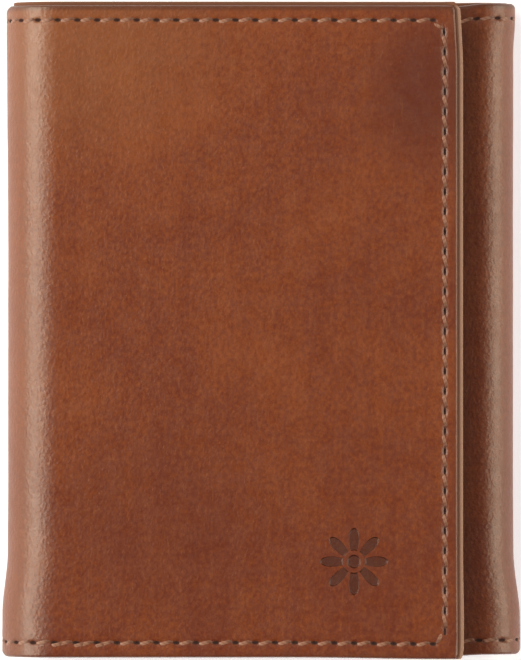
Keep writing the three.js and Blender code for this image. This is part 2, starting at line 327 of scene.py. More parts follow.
# %% Where the needle holes are
MITRE = 1.9
row_start = COLUMN_IN + MITRE
row_end = LENGTH - COLUMN_IN - MITRE
row_count = round((row_end - row_start) / STITCH)
row_s = [row_start + (row_end - row_start) * i / row_count for i in range(row_count + 1)]
column_low = (COLUMN_IN, ROW_LOW + MITRE)
column_high = (COLUMN_IN, ROW_TOP - MITRE)
far_low = (LENGTH - COLUMN_IN, ROW_LOW + MITRE)
far_high = (LENGTH - COLUMN_IN, ROW_TOP - MITRE)
ROW_PITCH = (row_end - row_start) / row_count
column_count = round((column_high[1] - column_low[1]) / STITCH)
COLUMN_PITCH = (column_high[1] - column_low[1]) / column_count
print("stitches", round(ROW_PITCH, 3), "mm long in a row and", round(COLUMN_PITCH, 3), "in a column")


# %% Distance to a cut edge and to a seam
def cover_cuts(s, y):
    """Distance to the nearest cut edge of the cover."""
    ends = np.minimum(s, LENGTH - s)
    return np.minimum(ends, np.minimum(y - COVER_LOW, COVER_HIGH - y))


def seam_distance(s, y):
    """Distance to the nearest line of stitches."""
    side = np.minimum(s, LENGTH - s)
    rows = np.minimum(np.abs(y - ROW_TOP), np.abs(y - ROW_LOW))
    rows = np.where(side < COLUMN_IN, 9, rows)
    column = np.where((y > ROW_TOP) | (y < ROW_LOW), 9, np.abs(side - COLUMN_IN))
    return np.minimum(rows, column)


def from_hole(place, first, pitch):
    """Distance along a seam to the nearest needle hole."""
    turns = (place - first) / pitch
    return np.abs(turns - np.round(turns)) * pitch


def needle_dents(s, y):
    """1 in the middle of a needle hole and 0 away from it."""
    side = np.minimum(s, LENGTH - s)
    across = np.minimum(np.abs(y - ROW_TOP), np.abs(y - ROW_LOW))
    row = (from_hole(s, row_start, ROW_PITCH) / 0.46) ** 2 + (across / 0.27) ** 2
    row = np.where(side < row_start - 0.6, 9, row)
    column = (from_hole(y, column_low[1], COLUMN_PITCH) / 0.5) ** 2
    column = column + ((side - COLUMN_IN) / 0.25) ** 2
    column = np.where(np.abs(y) > ROW_TOP - MITRE + 0.6, 9, column)
    return np.exp(-np.minimum(row, column))


# %% Relief of the cover
CHANNEL_DEEP = 0.07
HOLE_DEEP = 0.42
print("each needle hole is a dent", HOLE_DEEP, "mm deep")


def cover_relief(flat):
    """How far each point of the cover is pressed in by its edges and its seams."""
    s, y, depth = flat[:, 0], flat[:, 1], flat[:, 2]
    outer = 1 - depth / COVER[1]
    cuts = cover_cuts(s, y)
    round_off = rounding(cuts, 0.5) * outer - rounding(cuts, 0.2) * (1 - outer)
    seam = seam_distance(s, y)
    channel = CHANNEL_DEEP * np.exp(-((seam / 0.55) ** 2)) + HOLE_DEEP * needle_dents(s, y)
    pillow = -0.05 * np.exp(-(((seam - 1.3) / 0.8) ** 2))
    beat = np.cos(2 * math.pi * s / STITCH) * (np.minimum(s, LENGTH - s) > 4)
    pucker = 0.03 * beat * np.exp(-((seam / 1.3) ** 2))
    wrinkle = 0.014 * ripple(s, y, 6, 8.3)
    return round_off + (channel + pillow + pucker + wrinkle) * outer


# %% Cut and fold the cover
SIDES = ["front", "left_fold", "right_fold", "inner"]
rows_close = [(ROW_TOP, 1.2, 0.24), (ROW_LOW, 1.2, 0.24)]
edges_close = [(COVER_LOW, 0.55, 0.11), (COVER_HIGH, 0.6, 0.11)]
cover_y = lines(COVER_LOW, COVER_HIGH, 0.53, rows_close + edges_close)
STEPS = [0.46, 0.46, 0.46, 0.5]
covers = {}
for side, start, end, step in zip(SIDES, CUTS, CUTS[1:], STEPS):
    free = [(0.0, 0.55, 0.11), (COLUMN_IN, 1.2, 0.24)]
    free += [(LENGTH, 0.6, 0.11), (LENGTH - COLUMN_IN, 1.2, 0.24)]
    bm = cut_ply(lines(start, end, step, free), cover_y, COVER)
    covers[side] = finish_ply(bm, f"outer_leather_{side}", cover_cuts, cover_relief)

# %% [markdown]
# ## Lining and inner panel
# The lining is a sheet of twill and the panel a thinner leather. Together they are the two walls of
# the bill compartment. Their edges show past the cover: the lining at the top, and the lining's
# sealed edge as a pale strip along the free edge. The same function folds them, a little deeper.


# %% Distance to the cut edges of the inner plies
def ply_cuts(low_s, high_s, low_y, high_y):
    """A function that gives the distance to the edge of a rectangular ply."""

    def cuts(s, y):
        across = np.minimum(s - low_s, high_s - s)
        return np.minimum(across, np.minimum(y - low_y, high_y - y))

    return cuts


def soft_edge(cuts, depths, radius):
    """A relief that rounds a thin ply's cut edges on both faces."""
    middle = (depths[0] + depths[1]) / 2

    def relief(flat):
        way = np.where(flat[:, 2] < middle, 1, -1)
        return way * rounding(cuts(flat[:, 0], flat[:, 1]), radius)

    return relief


# %% Cut and fold the lining and the panel
def inner_ply(name, side, depths, high_y, reach, step):
    """One length of an inner ply that runs the whole way round the shell."""
    place = SIDES.index(side)
    start = CUTS[place] - (reach if place == 0 else 0)
    end = CUTS[place + 1] + (reach if place == 3 else 0)
    close = [(-reach, 0.3, 0.1), (LENGTH + reach, 0.4, 0.1)]
    cuts = ply_cuts(-reach, LENGTH + reach, COVER_LOW, high_y)
    y_close = [(COVER_LOW, 0.3, 0.1), (high_y, 0.4, 0.1)]
    y_lines = lines(COVER_LOW, high_y, step, y_close)
    bm = cut_ply(lines(start, end, step, close), y_lines, depths)
    relief = soft_edge(cuts, depths, 0.45 * (depths[1] - depths[0]))
    return finish_ply(bm, f"{name}_{side}", cuts, relief)


linings = {}
panels = {}
for side in SIDES:
    linings[side] = inner_ply("lining", side, LINING, LINING_HIGH, PLY_EDGE, 1.1)
    panels[side] = inner_ply("inner_panel", side, PANEL, PANEL_HIGH, 0.6 * PLY_EDGE, 1.1)

# %% [markdown]
# ## Card pockets
# Each flap has three stacked pockets. The two rear ones are a short leather facing on a cloth tail,
# which saves thickness, and the front one is leather all the way down. The facings' mouths are
# scooped very slightly, as a hand-cut edge is, and a crease line is pressed below each.


# %% Where a pocket's edges are on the flat shell
def pocket_span(node):
    """Start and end of a flap's pocket along the shell, its low and high edge, and its depths."""
    low_x, high_x = span(node, 0)
    low_y, high_y = span(node, 1)
    low_z, high_z = span(node, 2)
    if node.startswith("front"):
        depths = (TOP_Z - high_z, TOP_Z - low_z)
        return FREE_X - high_x, FREE_X - low_x, low_y, high_y, depths
    depths = (INNER_TOP_Z - high_z, INNER_TOP_Z - low_z)
    run = INNER_START + RIGHT_FOLD_X
    return run - high_x, run - low_x, low_y, high_y, depths


# %% Cut the facings and their tails
def pocket(node):
    """A facing or a tail, cut at its place on the flat shell and folded with it."""
    start, end, low, high, depths = pocket_span(node)
    depths = tuple(round(d, 3) for d in depths)
    cuts = ply_cuts(start, end, low, high)
    s_lines = lines(start, end, 1.3, [(start, 0.3, 0.1), (end, 0.4, 0.1)])
    y_close = [(low, 0.3, 0.1), (high, 0.4, 0.1), (high - 2, 0.8, 0.16)]
    bm = cut_ply(s_lines, lines(low, high, 1.3, y_close), depths)
    edge = soft_edge(cuts, depths, 0.4 * (depths[1] - depths[0]))

    def relief(flat):
        s, y, depth = flat[:, 0], flat[:, 1], flat[:, 2]
        near = (depth - depths[0]) / (depths[1] - depths[0])
        crease = -0.09 * np.exp(-(((high - 2 - y) / 0.28) ** 2)) * near
        return edge(flat) + (crease if "tail" not in node else 0)

    return finish_ply(bm, node.replace("flap_pocket", "card_pocket"), cuts, relief)


pockets = {}
for node in sorted(frame["nodes"]):
    if "_pocket_" in node:
        pockets[node] = pocket(node)

# %% [markdown]
# ## Identity window
# The back panel carries a clear film behind a leather frame. The frame is an outline with a hole,
# so it starts from two loops that are bridged: the outer edge and the window.
# It lies flat on the back, and the same pinching function draws its lower edge to the seam.

# %% Sizes of the window frame
FRAME_X = span("id_window_frame", 0)
FRAME_Y = span("id_window_frame", 1)
FRAME_Z = span("id_window_frame", 2)
FILM_X = span("id_window_film", 0)
FILM_Y = span("id_window_film", 1)
FILM_Z = span("id_window_film", 2)
STILE, SILL, HEAD = 8.5, 11.0, 12.0
SIGHT_X = (FRAME_X[0] + STILE, FRAME_X[1] - STILE)
SIGHT_Y = (FRAME_Y[0] + SILL, FRAME_Y[1] - HEAD)
print("window", SIGHT_X, SIGHT_Y, "film", FILM_X, FILM_Y)


# %% A flat ring between the outline and the sight
def back_place(x):
    """How far along the shell a point of the back is."""
    return float(ENDS[4]) + x - LEFT_FOLD_X


def rounded_loop(bm, low, high, radius, count):
    """A loop of edges round a rectangle with rounded corners, made from a circle."""
    made = bmesh.ops.create_circle(bm, segments=4 * count, radius=radius)
    for vert in made["verts"]:
        corner_x = high[0] - radius if vert.co.x > 1e-6 * radius else low[0] + radius
        corner_y = high[1] - radius if vert.co.y > 1e-6 * radius else low[1] + radius
        vert.co += Vector((corner_x, corner_y, 0))
    return made["verts"]


def window_frame():
    """The leather frame of the window as a flat closed ply."""
    bm = bmesh.new()
    low = (back_place(FRAME_X[0]), FRAME_Y[0])
    high = (back_place(FRAME_X[1]), FRAME_Y[1])
    rounded_loop(bm, low, high, 0.4, 12)
    low = (back_place(SIGHT_X[0]), SIGHT_Y[0])
    high = (back_place(SIGHT_X[1]), SIGHT_Y[1])
    rounded_loop(bm, low, high, 3.0, 12)
    bmesh.ops.bridge_loops(bm, edges=bm.edges[:])
    across = [e for e in bm.edges if e.calc_length() > 6 and not e.is_boundary]
    bmesh.ops.subdivide_edges(bm, edges=across, cuts=7, use_grid_fill=True)
    long_edges = [e for e in bm.edges if e.calc_length() > 6]
    bmesh.ops.subdivide_edges(bm, edges=long_edges, cuts=15, use_grid_fill=True)
    bmesh.ops.translate(bm, verts=bm.verts[:], vec=(0, 0, FRAME_Z[0]))
    made = bmesh.ops.extrude_face_region(bm, geom=bm.faces[:], use_keep_orig=True)
    inner = [v for v in made["geom"] if isinstance(v, bmesh.types.BMVert)]
    bmesh.ops.translate(bm, verts=inner, vec=(0, 0, FRAME_Z[1] - FRAME_Z[0]))
    rim = [e for e in bm.edges if e.calc_face_angle(0) > 1]
    bmesh.ops.recalc_face_normals(bm, faces=bm.faces[:])
    bmesh.ops.bevel(
        bm, geom=rim, offset=0.15, offset_type="OFFSET", affect="EDGES", segments=2,
        profile=0.5, material=-1,
    )
    return bm


frame_cuts = ply_cuts(back_place(FRAME_X[0]), back_place(FRAME_X[1]), FRAME_Y[0], FRAME_Y[1])
id_frame = finish_ply(window_frame(), "id_window_leather_frame", frame_cuts)

# %% The clear film
film_s = (back_place(FILM_X[0]), back_place(FILM_X[1]))
film_cuts = ply_cuts(film_s[0], film_s[1], FILM_Y[0], FILM_Y[1])
bm = cut_ply(lines(*film_s, 1.5), lines(*FILM_Y, 1.5), FILM_Z)
id_film = finish_ply(bm, "id_window_clear_film", film_cuts)

# %% [markdown]
# ## Stitches
# The seam is a lockstitch, eight to the inch. Each stitch leaves one needle hole, lies slanted over
# the leather and dives into the next. A small sphere, stretched and bent, has that shape with few
# faces, which matters for a shape that is repeated hundreds of times. It is laid out flat first, so
# the fold carries the stitches round with the leather.


# %% One stitch
def add_stitch(bm, lay, turn, start, end, depth, side, seed):
    """Lays one stitch between two flat points. side is -1 outside the leather and 1 inside."""
    a, b = Vector(start), Vector(end)
    along = (b - a).normalized()
    across = Vector((-along.y, along.x))
    half = (b - a).length / 2
    wobble = noise.noise((seed * 3.7, seed * 1.3, 0.5)) * 0.14
    made = bmesh.ops.create_uvsphere(bm, u_segments=8, v_segments=9, radius=1)
    for vert in made["verts"]:
        u, ring = vert.co.z, Vector((vert.co.x, vert.co.y))
        thick = 0.29 * (1 - abs(u) ** 5) ** 0.25 if abs(u) < 1 else 0.0
        size = ring.length or 1.0
        slant = 0.24 * math.sin(u * math.pi / 2) + wobble
        rise = 0.24 * (1 - u * u) - 0.40 * abs(u) ** 4
        spot = (a + b) / 2 + along * (half * 0.80 * u)
        spot += across * (slant * side + ring.x / size * thick)
        vert[lay] = (ring.x / size, ring.y / size, u * half)
        vert[turn] = seed
        lift = rise + ring.y / size * thick * 0.8
        vert.co = (spot.x, spot.y, depth + side * lift)


# %% Lay a row of stitches
def sew(name, runs, depth, side, shape=fold):
    """A piece that holds all the stitches of the runs, each a list of flat needle holes.

    depth is how deep the stitches lie, or a function that gives it from y.
    """
    bm = bmesh.new()
    lay = bm.verts.layers.float_vector.new("yarn")
    turn = bm.verts.layers.float.new("stitch")
    count = 0
    for run in runs:
        for a, b in zip(run, run[1:]):
            deep = depth(max(a[1], b[1])) if callable(depth) else depth
            add_stitch(bm, lay, turn, a, b, deep, side, count + 0.37 * len(name))
            count += 1
    bmesh.ops.recalc_face_normals(bm, faces=bm.faces[:])
    print(name, "holds", count, "stitches")
    return finish_ply(bm, name, seam_distance, None, shape)


# %% Needle holes of the outside seam
def holes_between(start, end):
    """Needle holes from one flat point to another, one stitch length apart."""
    a, b = np.array(start, float), np.array(end, float)
    count = max(1, round(float(np.linalg.norm(b - a)) / STITCH))
    return [tuple(a + (b - a) * i / count) for i in range(count + 1)]


# %% Sew the outside seam
def outside_runs(side):
    """The needle holes that belong to one length of the shell."""
    place = SIDES.index(side)
    low_s, high_s = CUTS[place], CUTS[place + 1]
    runs = []
    for row in (ROW_TOP, ROW_LOW):
        inside = [(s, row) for s in row_s if low_s - STITCH / 2 <= s < high_s + STITCH / 2]
        runs.append(inside)
    if side == "front":
        runs.append(holes_between(column_low, column_high))
        runs.append([column_high, (row_start, ROW_TOP)])
        runs.append([(row_start, ROW_LOW), column_low])
        tack = [s for s in row_s if 54 < s < 67]
        runs.append([(s + 1.1, ROW_LOW - 0.28) for s in tack])
    if side == "inner":
        runs.append(holes_between(far_high, far_low))
        runs.append([(row_end, ROW_TOP), far_high])
        runs.append([far_low, (row_end, ROW_LOW)])
    return runs


seams = {}
for side in SIDES:
    seams[side] = sew(f"outside_stitches_{side}", outside_runs(side), 0.20, -1)

# %% [markdown]
# On the inside the same holes show the seam's other thread, on top of the pocket stack. The window
# frame has its own seam, round its four sides.

# %% Depth of the pocket stack
MOUTHS = [span(f"front_flap_pocket_{i}", 1)[1] for i in (1, 2, 3)]
STACKS = [TOP_Z - span(f"front_flap_pocket_{i}", 2)[0] for i in (1, 2, 3)]
print("pocket mouths at", MOUTHS, "and depths", np.round(STACKS, 2))


def stack_depth(y):
    """Depth of the innermost face below a stitch: each pocket ends at its mouth."""
    covered = [deep for mouth, deep in zip(MOUTHS, STACKS) if y < mouth]
    return max(covered, default=PANEL[1]) + 0.02


# %% Sew the inside seams
front_inside = [
    holes_between((row_start, ROW_LOW), (FRONT_END - 1.6, ROW_LOW)),
    holes_between(column_low, column_high),
]
seam_front_inside = sew("inside_stitches_front", front_inside, stack_depth, 1)
inner_inside = [
    holes_between((INNER_START + 1.6, ROW_LOW), (row_end, ROW_LOW)),
    holes_between(far_high, far_low),
]
seam_inner_inside = sew("inside_stitches_inner", inner_inside, stack_depth, 1)
WINDOW_SEAM_X = span("id_window_thread", 0)
WINDOW_SEAM_Y = span("id_window_thread", 1)
left_s = back_place(WINDOW_SEAM_X[0] + 0.3)
right_s = back_place(WINDOW_SEAM_X[1] - 0.3)
low_y, high_y = WINDOW_SEAM_Y[0] + 0.3, WINDOW_SEAM_Y[1] - 0.3
window_runs = [
    holes_between((left_s, low_y), (left_s, high_y)),
    holes_between((left_s, high_y), (right_s, high_y)),
    holes_between((right_s, high_y), (right_s, low_y)),
    holes_between((right_s, low_y), (left_s, low_y)),
]
seam_window = sew("id_window_stitches", window_runs, FRAME_Z[1] + 0.02, 1)

# %% [markdown]
# ## Finishes
# A finish here is a small network of nodes: a base colour that varies, a roughness that varies, and
# a height that the light catches. Colours are written as sRGB hex, as a designer gives them, and one
# function turns them to the linear values that Blender works in.


# %% Colour and node helpers
def linear(code):
    """Linear RGBA of an sRGB hex colour."""
    parts = [int(code[i : i + 2], 16) / 255 for i in (0, 2, 4)]
    return [p / 12.92 if p <= 0.04045 else ((p + 0.055) / 1.055) ** 2.4 for p in parts] + [1.0]


def add(finish, kind, links=(), **settings):
    """Adds a node to a material, sets its fields, and links or sets its inputs.

    links names the inputs, or lists the first ones in order. Each is given a value, a socket, or a
    node, whose first output is then meant.
    """
    node = finish.node_tree.nodes.new(kind)
    for name, value in settings.items():
        setattr(node, name, value)
    for socket, value in links.items() if isinstance(links, dict) else enumerate(links):
        if isinstance(value, bpy.types.Node):
            value = value.outputs[0]
        if isinstance(value, bpy.types.NodeSocket):
            finish.node_tree.links.new(value, node.inputs[socket])
        else:
            node.inputs[socket].default_value = value
    return node


def new_finish(name):
    """A material with only its output node, and that node."""
    finish = bpy.data.materials.new(name)
    finish.use_nodes = True
    finish.node_tree.nodes.clear()
    return finish, finish.node_tree.nodes.new("ShaderNodeOutputMaterial")


# %% [markdown]
# ### Full-grain leather
# The cover is vegetable-tanned cowhide, dyed cognac and finished with wax, so the eye sees a warm
# brown with soft vertical clouds, a fine pebbled grain and a satin sheen. Its fibres, pores and
# scratches run mostly up and down. Cut edges are burnished darker for about a millimetre, and the
# folds are rubbed lighter by a pocket. Light and shade are painted in too: the leather is painted
# paler towards the top and at the upper left of the front, and darker and redder low in the middle.
# The inner flap is painted darker as the shadow that the front flap's free edge throws on it, and
# the needle holes are painted dark as their shade. The grain of real hide is 0.2 to 0.4 mm; it is
# drawn at 0.5 mm so that it still shows.


# %% Soft patches on the flat leather
def patch(finish, flat, centre, size, strength):
    """A soft oval patch on the flat leather: strength at its centre, 0 from its rim on."""
    scale = (1 / size[0], 1 / size[1], 0)
    place = (-centre[0] / size[0], -centre[1] / size[1], 0)
    way = add(finish, "ShaderNodeMapping", {"Vector": flat, "Scale": scale, "Location": place})
    reach = add(finish, "ShaderNodeVectorMath", [way], operation="LENGTH").outputs["Value"]
    return add(finish, "ShaderNodeMapRange", [reach, 0.15, 1.0, strength, 0.0],
               interpolation_type="SMOOTHSTEP")


def rubbed_folds(finish, flat):
    """1 on the crown of the two folds, where a pocket rubs them, and 0 on the flats."""
    left = patch(finish, flat, (FRONT_END + 9.5, 0.0), (10.0, 400.0), 1.0)
    right = patch(finish, flat, (INNER_START - 7.0, 0.0), (7.0, 400.0), 1.0)
    return add(finish, "ShaderNodeMath", [left, right], operation="MAXIMUM")


# %% How pale the dye has come out, with painted light that is paler towards the top
def dye_and_painted_light(finish, flat, height):
    """0 where the leather is deep and 1 where it is pale: the dye's mottle, speckle, streaks and
    clouds, and painted light that is paler towards the top.
    """
    long_way = add(finish, "ShaderNodeMapping", {"Vector": flat, "Scale": (1.0, 0.72, 1.0)})
    mottle = add(finish, "ShaderNodeTexNoise",
                 {"Vector": long_way, "Scale": 0.11, "Detail": 8.0, "Roughness": 0.78})
    speckle = add(finish, "ShaderNodeTexNoise",
                  {"Vector": long_way, "Scale": 1.5, "Detail": 3.0, "Roughness": 0.8})
    pull_way = add(finish, "ShaderNodeMapping",
                   {"Vector": flat, "Scale": (1.0, 0.035, 1.0), "Rotation": (0, 0, 0.02)})
    pull = add(finish, "ShaderNodeTexNoise",
               {"Vector": pull_way, "Scale": 0.45, "Detail": 4.0, "Roughness": 0.6})
    clouds = add(finish, "ShaderNodeTexNoise",
                 {"Vector": flat, "Scale": 0.045, "Detail": 3.0, "Roughness": 0.5})
    shade = -0.92
    # painted light: height, the flat y, makes the leather paler towards the top and darker towards
    # the bottom
    layers = [(mottle, 0.55), (speckle, 1.15), (height, 0.0015), (pull, 0.30), (clouds, 0.45)]
    for layer, weight in layers:
        shade = add(finish, "ShaderNodeMath", [layer, weight, shade], operation="MULTIPLY_ADD")
    return add(finish, "ShaderNodeMapRange", [shade, 0.0, 0.66, 0.0, 1.0],
               interpolation_type="SMOOTHSTEP")


# %% Scuffs and burnished edges
def scuffs_of(finish, flat):
    """Faint slanted scuffs that a pocket leaves."""
    way = add(finish, "ShaderNodeMapping",
              {"Vector": flat, "Scale": (1.0, 0.10, 1.0), "Rotation": (0, 0, 0.35)})
    scratch = add(finish, "ShaderNodeTexNoise", {"Vector": way, "Scale": 1.6, "Detail": 2.0})
    return add(finish, "ShaderNodeMapRange", [scratch, 0.66, 0.74, 0.0, 0.22],
               interpolation_type="SMOOTHSTEP")


def burnished(finish, edge, height):
    """How dark a cut edge is burnished: most along the top."""
    near = add(finish, "ShaderNodeMapRange", [edge, 0.35, 1.15, 1.0, 0.0],
               interpolation_type="SMOOTHSTEP")
    top = add(finish, "ShaderNodeMapRange", [height, 50.6, 51.4, 0.3, 0.75],
              interpolation_type="SMOOTHSTEP")
    return add(finish, "ShaderNodeMath", [near, top], operation="MULTIPLY")


# %% Cloudy colour of the cover
def cloudy_leather(finish, flat, edge, rubbed):
    """Base colour of the cover: the dye with its painted light, and over it patches, marks of use,
    and painted light and shade.
    """
    split = add(finish, "ShaderNodeSeparateXYZ", [flat]).outputs
    shade = dye_and_painted_light(finish, flat, split[1])
    colour = add(finish, "ShaderNodeMix",
                 {"Factor": shade, 6: linear("642101"), 7: linear("864010")},
                 data_type="RGBA").outputs[2]
    rubbed = add(finish, "ShaderNodeMath", [rubbed, 0.45], operation="MULTIPLY")
    # painted shadow: the inner flap next to the front flap's free edge is painted darker, as the
    # shadow that the free edge throws on it
    covered = add(finish, "ShaderNodeMapRange",
                  [split[0], INNER_START - 1.6, INNER_START + 3.4, 0.0, 0.55],
                  interpolation_type="SMOOTHSTEP")
    marks = [
        (patch(finish, flat, (5.0, 38.5), (15.0, 19.0), 0.72), "551702"),
        # painted shade: a darker, redder patch low in the middle
        (patch(finish, flat, (48.0, -30.0), (26.0, 22.0), 0.22), "551702"),
        # painted light: a paler patch at the upper left of the front
        (patch(finish, flat, (62.0, 50.0), (34.0, 30.0), 0.45), "8f562e"),
        (rubbed, "7c420a"),
        # the painted shadow of the front flap's free edge on the inner flap
        (covered, "38150a"),
        (scuffs_of(finish, flat), "8f562e"),
        (burnished(finish, edge, split[1]), "54260f"),
    ]
    for amount, mark in marks:
        colour = add(finish, "ShaderNodeMix", {"Factor": amount, 6: colour, 7: linear(mark)},
                     data_type="RGBA").outputs[2]
    return colour


# %% Needle holes and their shade
def holes_along(finish, along, first, pitch, away, size):
    """1 in the oval holes of one seam. along runs with the seam, away is the distance from it."""
    turn = add(finish, "ShaderNodeMath", [along, 1 / pitch, 0.5 - first / pitch],
               operation="MULTIPLY_ADD")
    turn = add(finish, "ShaderNodeMath", [turn], operation="FRACT")
    turn = add(finish, "ShaderNodeMath", [turn, 0.5], operation="SUBTRACT")
    turn = add(finish, "ShaderNodeMath", [turn, pitch / size[0]], operation="MULTIPLY")
    away = add(finish, "ShaderNodeMath", [away, size[1]], operation="DIVIDE")
    place = add(finish, "ShaderNodeCombineXYZ", [turn, away])
    reach = add(finish, "ShaderNodeVectorMath", [place], operation="LENGTH").outputs["Value"]
    return add(finish, "ShaderNodeMapRange", [reach, 0.55, 1.1, 1.0, 0.0],
               interpolation_type="SMOOTHSTEP")


def hole_mask(finish, flat):
    """1 in the needle holes of the two rows and of the columns, 0 elsewhere."""
    split = add(finish, "ShaderNodeSeparateXYZ", [flat]).outputs
    from_end = add(finish, "ShaderNodeMath", [split[0], LENGTH / 2], operation="SUBTRACT")
    from_end = add(finish, "ShaderNodeMath", [from_end], operation="ABSOLUTE")
    from_end = add(finish, "ShaderNodeMath", [LENGTH / 2, from_end], operation="SUBTRACT")
    from_row = add(finish, "ShaderNodeMath", [split[1], (ROW_TOP + ROW_LOW) / 2],
                   operation="SUBTRACT")
    from_row = add(finish, "ShaderNodeMath", [from_row], operation="ABSOLUTE")
    from_row = add(finish, "ShaderNodeMath", [from_row, (ROW_TOP - ROW_LOW) / 2],
                   operation="SUBTRACT")
    rows = holes_along(finish, split[0], row_start, ROW_PITCH, from_row, (0.70, 0.36))
    sewn = add(finish, "ShaderNodeMath", [from_end, row_start - 0.5], operation="GREATER_THAN")
    rows = add(finish, "ShaderNodeMath", [rows, sewn], operation="MULTIPLY")
    from_column = add(finish, "ShaderNodeMath", [from_end, COLUMN_IN], operation="SUBTRACT")
    columns = holes_along(finish, split[1], column_low[1], COLUMN_PITCH, from_column, (0.84, 0.27))
    tall = add(finish, "ShaderNodeMath", [split[1]], operation="ABSOLUTE")
    sewn = add(finish, "ShaderNodeMath", [tall, 49.2], operation="LESS_THAN")
    columns = add(finish, "ShaderNodeMath", [columns, sewn], operation="MULTIPLY")
    return add(finish, "ShaderNodeMath", [rows, columns], operation="MAXIMUM")


# %% The pressed rosette
def rosette(finish, flat):
    """Depth of the stamp: eight petals with a ring round a centre dot, 1 where it is deepest."""
    centre = (FREE_X - ROSETTE[0], ROSETTE[1], 0)
    moved = add(finish, "ShaderNodeVectorMath", [flat, centre], operation="SUBTRACT")
    moved = add(finish, "ShaderNodeVectorMath", [moved, (1, 1, 0)], operation="MULTIPLY")
    reach = add(finish, "ShaderNodeVectorMath", [moved], operation="LENGTH").outputs["Value"]
    split = add(finish, "ShaderNodeSeparateXYZ", [moved]).outputs
    petal = add(finish, "ShaderNodeMath", [split[1], split[0]], operation="ARCTAN2")
    steps = [("MULTIPLY", 4.0), ("COSINE", 0.0), ("ABSOLUTE", 0.0), ("SUBTRACT", 0.3),
             ("MAXIMUM", 0.0), ("POWER", 0.5), ("MULTIPLY", ROSETTE_R * 1.2)]
    for operation, value in steps:
        petal = add(finish, "ShaderNodeMath", [petal, value], operation=operation)
    petal = add(finish, "ShaderNodeMath", [petal, reach], operation="SUBTRACT")
    leaf = add(finish, "ShaderNodeMapRange", [petal, -0.08, 0.24, 0.0, 1.0],
               interpolation_type="SMOOTHSTEP")
    ring = add(finish, "ShaderNodeMapRange", [reach, 1.75, 2.0, 0.0, 1.0],
               interpolation_type="SMOOTHSTEP")
    leaf = add(finish, "ShaderNodeMath", [leaf, ring], operation="MULTIPLY")
    dot = add(finish, "ShaderNodeMapRange", [reach, 0.85, 1.15, 1.0, 0.0],
              interpolation_type="SMOOTHSTEP")
    return add(finish, "ShaderNodeMath", [leaf, dot], operation="MAXIMUM")


# %% Height of a leather's surface
def grain_height(finish, flat, grain_mm, depth_mm):
    """Height in metres of the pebbled grain with its pores."""
    long_way = add(finish, "ShaderNodeMapping", {"Vector": flat, "Scale": (1.0, 0.72, 1.0)})
    pebbles = add(finish, "ShaderNodeTexVoronoi",
                  {"Vector": long_way, "Scale": 1 / grain_mm, "Randomness": 1.0},
                  feature="SMOOTH_F1")
    fine = add(finish, "ShaderNodeTexNoise",
               {"Vector": flat, "Scale": 1 / 0.35, "Detail": 4.0, "Roughness": 0.6})
    height = add(finish, "ShaderNodeMath", [pebbles, -0.8], operation="MULTIPLY")
    height = add(finish, "ShaderNodeMath", [fine, 0.9, height], operation="MULTIPLY_ADD")
    return add(finish, "ShaderNodeMath", [height, depth_mm * MM], operation="MULTIPLY")


# %% Make the cover's finish
def full_grain_leather():
    """Waxed cognac cowhide for the outside of the wallet."""
    finish, output = new_finish("cognac_full_grain_leather")
    flat = add(finish, "ShaderNodeAttribute", attribute_name="flat_mm").outputs["Vector"]
    edge = add(finish, "ShaderNodeAttribute", attribute_name="edge_mm").outputs["Fac"]
    rubbed = rubbed_folds(finish, flat)
    holes = hole_mask(finish, flat)
    stamp = rosette(finish, flat)
    # the pressed rosette is coloured darker than the leather round it
    rosette_darkening = add(finish, "ShaderNodeMath", [stamp, 0.72], operation="MULTIPLY")
    colour = cloudy_leather(finish, flat, edge, rubbed)
    # painted shade: the needle holes are painted dark, as the shade inside them
    for amount, mark in ((rosette_darkening, "401607"), (holes, "300c03")):
        colour = add(finish, "ShaderNodeMix", {"Factor": amount, 6: colour, 7: linear(mark)},
                     data_type="RGBA").outputs[2]
    height = grain_height(finish, flat, 0.50, 0.065)
    height = add(finish, "ShaderNodeMath", [stamp, -0.40 * MM, height], operation="MULTIPLY_ADD")
    bump = add(finish, "ShaderNodeBump", {"Height": height, "Strength": 1.0, "Distance": 1.0})
    wax = add(finish, "ShaderNodeTexNoise",
              {"Vector": flat, "Scale": 0.35, "Detail": 5.0, "Roughness": 0.6})
    gloss = add(finish, "ShaderNodeMapRange", [wax, 0.3, 0.7, 0.40, 0.48],
                interpolation_type="SMOOTHSTEP")
    gloss = add(finish, "ShaderNodeMath", [rubbed, -0.05, gloss], operation="MULTIPLY_ADD")
    gloss = add(finish, "ShaderNodeMath", [gloss, holes], operation="MAXIMUM")
    skin = add(finish, "ShaderNodeBsdfPrincipled",
               {"Base Color": colour, "Roughness": gloss, "IOR": 1.5,
                "Specular IOR Level": 0.8, "Normal": bump})
    finish.node_tree.links.new(skin.outputs[0], output.inputs[0])
    return finish


cover_finish = full_grain_leather()
print(cover_finish.name, len(cover_finish.node_tree.nodes), "nodes")

# %% [markdown]
# ### Thin inner leather
# The panel, the pockets and the window's frame are skived calf about half a millimetre thick. It is
# drier and a little greyer than the cover, with a finer grain, and its cut edge is paint-free and
# paler than its face, so each pocket's mouth shows as a light line.


